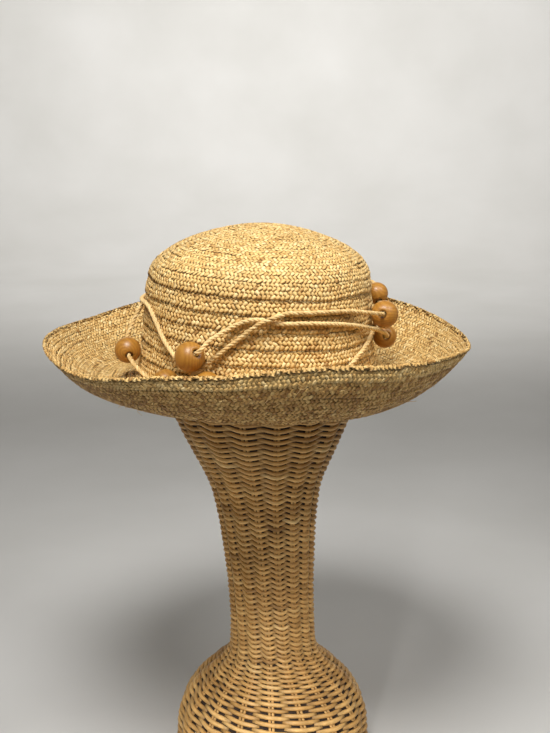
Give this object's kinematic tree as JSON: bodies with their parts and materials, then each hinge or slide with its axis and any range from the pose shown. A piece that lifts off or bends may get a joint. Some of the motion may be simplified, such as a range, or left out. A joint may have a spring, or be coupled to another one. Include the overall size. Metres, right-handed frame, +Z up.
{
  "type": "straw hat on wicker stand",
  "caption": "Straw braid hat with a domed crown, a rolled-up brim and a beaded string round the crown, resting on a waisted wicker hat stand.",
  "frame": {"origin": "on the floor under the middle of the brim", "axes": "+Z up, -Y towards the front of the hat, +X to the viewer's right"},
  "size_m": [0.3382, 0.3348, 0.4528],
  "materials": {
    "straw": "matte",
    "string": "matte",
    "bead_wood": "satin",
    "wicker": "satin"
  },
  "bodies": {
    "root": {"crown": "straw", "brim": "straw", "string_turn_1": "string", "string_turn_2": "string", "string_turn_3": "string", "bead_front_low_right": "bead_wood", "bead_right_top": "bead_wood", "bead_front": "bead_wood", "bead_right_low": "bead_wood", "bead_left": "bead_wood", "bead_front_low_left": "bead_wood", "bead_right_middle": "bead_wood", "stand": "wicker"}
  },
  "joints": []
}
